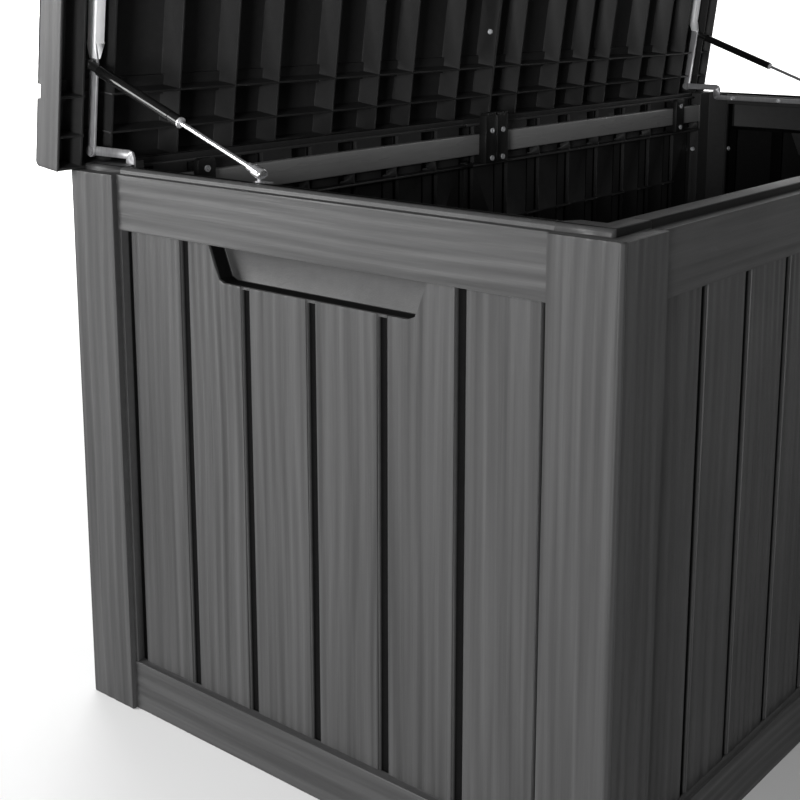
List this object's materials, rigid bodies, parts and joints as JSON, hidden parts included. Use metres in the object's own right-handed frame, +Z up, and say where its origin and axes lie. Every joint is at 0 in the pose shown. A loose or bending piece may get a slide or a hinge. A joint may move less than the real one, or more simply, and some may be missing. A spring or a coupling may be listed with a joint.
{
  "type": "deck storage box",
  "caption": "Deck storage box with plank-look resin walls and corner posts, and a lid that swings up on steel arms, held open by gas struts.",
  "frame": {"origin": "centre of the floor area under the box, on the ground", "axes": "+X along the length, front at -Y, lid hinge at +Y, +Z up; stored with the lid open"},
  "size_m": [1.548, 0.7617, 1.4012],
  "materials": {
    "resin": "wood-grain embossed charcoal resin, satin",
    "bar_paint": "grey powder coat",
    "bracket_plastic": "black moulded nylon",
    "arm_steel": "plain steel strip",
    "zinc_tube": "bright zinc plate",
    "screw_zinc": "zinc-plated screws",
    "strut_chrome": "hard chrome",
    "strut_paint": "gloss black paint",
    "strut_plastic": "black nylon",
    "seal_ring": "light grey rod guide"
  },
  "bodies": {
    "root": {"post_front_left": "resin", "post_front_right": "resin", "post_rear_left": "resin", "post_rear_right": "resin", "front_panel_left": "resin", "front_panel_right": "resin", "rear_panel_left": "resin", "rear_panel_right": "resin", "end_panel_left": "resin", "end_panel_right": "resin", "base_left": "resin", "base_right": "resin", "base_joiner": "resin", "rear_bar_left": "bar_paint", "rear_bar_right": "bar_paint", "bar_bracket_left": "bracket_plastic", "bar_bracket_right": "bracket_plastic", "bar_clip_left": "bracket_plastic", "bar_clip_right": "bracket_plastic", "hinge_arm_left": "arm_steel", "hinge_arm_right": "arm_steel", "hinge_pin_left": "arm_steel", "hinge_pin_right": "arm_steel", "lower_stud_left": "arm_steel", "lower_stud_right": "arm_steel", "post_screws": "screw_zinc", "bracket_screws": "screw_zinc", "clip_screws": "screw_zinc", "arm_screws": "screw_zinc", "base_screws": "screw_zinc"},
    "lid": {"lid_left": "resin", "lid_right": "resin", "lid_tube_left": "zinc_tube", "lid_tube_right": "zinc_tube", "lid_arm_left": "arm_steel", "lid_arm_right": "arm_steel", "upper_stud_left": "arm_steel", "upper_stud_right": "arm_steel", "tube_spacers": "resin", "tube_screws": "screw_zinc", "seam_screws": "screw_zinc"},
    "strut_rod_left": {"strut_rod_left": "strut_chrome", "strut_eye_left": "strut_chrome", "strut_piston_left": "arm_steel"},
    "strut_cylinder_left": {"strut_tube_left": "strut_paint", "strut_cap_left": "strut_plastic", "strut_seal_left": "seal_ring"},
    "strut_rod_right": {"strut_rod_right": "strut_chrome", "strut_eye_right": "strut_chrome", "strut_piston_right": "arm_steel"},
    "strut_cylinder_right": {"strut_tube_right": "strut_paint", "strut_cap_right": "strut_plastic", "strut_seal_right": "seal_ring"}
  },
  "joints": [
    {"name": "lid_hinge", "type": "hinge", "parent": "root", "child": "lid", "pos_m": [0, 0.37, 0.657], "axis": [1, 0, 0], "range_deg": [0, 83], "stiffness_Nm_per_rad": 6, "springref_deg": -57.3},
    {"name": "strut_pivot_left", "type": "hinge", "parent": "root", "child": "strut_rod_left", "pos_m": [-0.7269, 0.085, 0.656], "axis": [1, 0, 0], "range_deg": [-20.82, 0]},
    {"name": "strut_slide_left", "type": "slide", "parent": "strut_rod_left", "child": "strut_cylinder_left", "axis": [0, 0.9369, 0.3496], "range_m": [-0.1051, 0]},
    {"name": "strut_pivot_right", "type": "hinge", "parent": "root", "child": "strut_rod_right", "pos_m": [0.7269, 0.085, 0.656], "axis": [1, 0, 0], "range_deg": [-20.82, 0]},
    {"name": "strut_slide_right", "type": "slide", "parent": "strut_rod_right", "child": "strut_cylinder_right", "axis": [0, 0.9369, 0.3496], "range_m": [-0.1051, 0]}
  ],
  "couplings": [
    {"joint": "strut_pivot_left", "follows": "lid_hinge", "ratio": -0.25027},
    {"joint": "strut_slide_left", "follows": "lid_hinge", "m_per_rad": -0.072436},
    {"joint": "strut_pivot_right", "follows": "lid_hinge", "ratio": -0.25027},
    {"joint": "strut_slide_right", "follows": "lid_hinge", "m_per_rad": -0.072436}
  ]
}
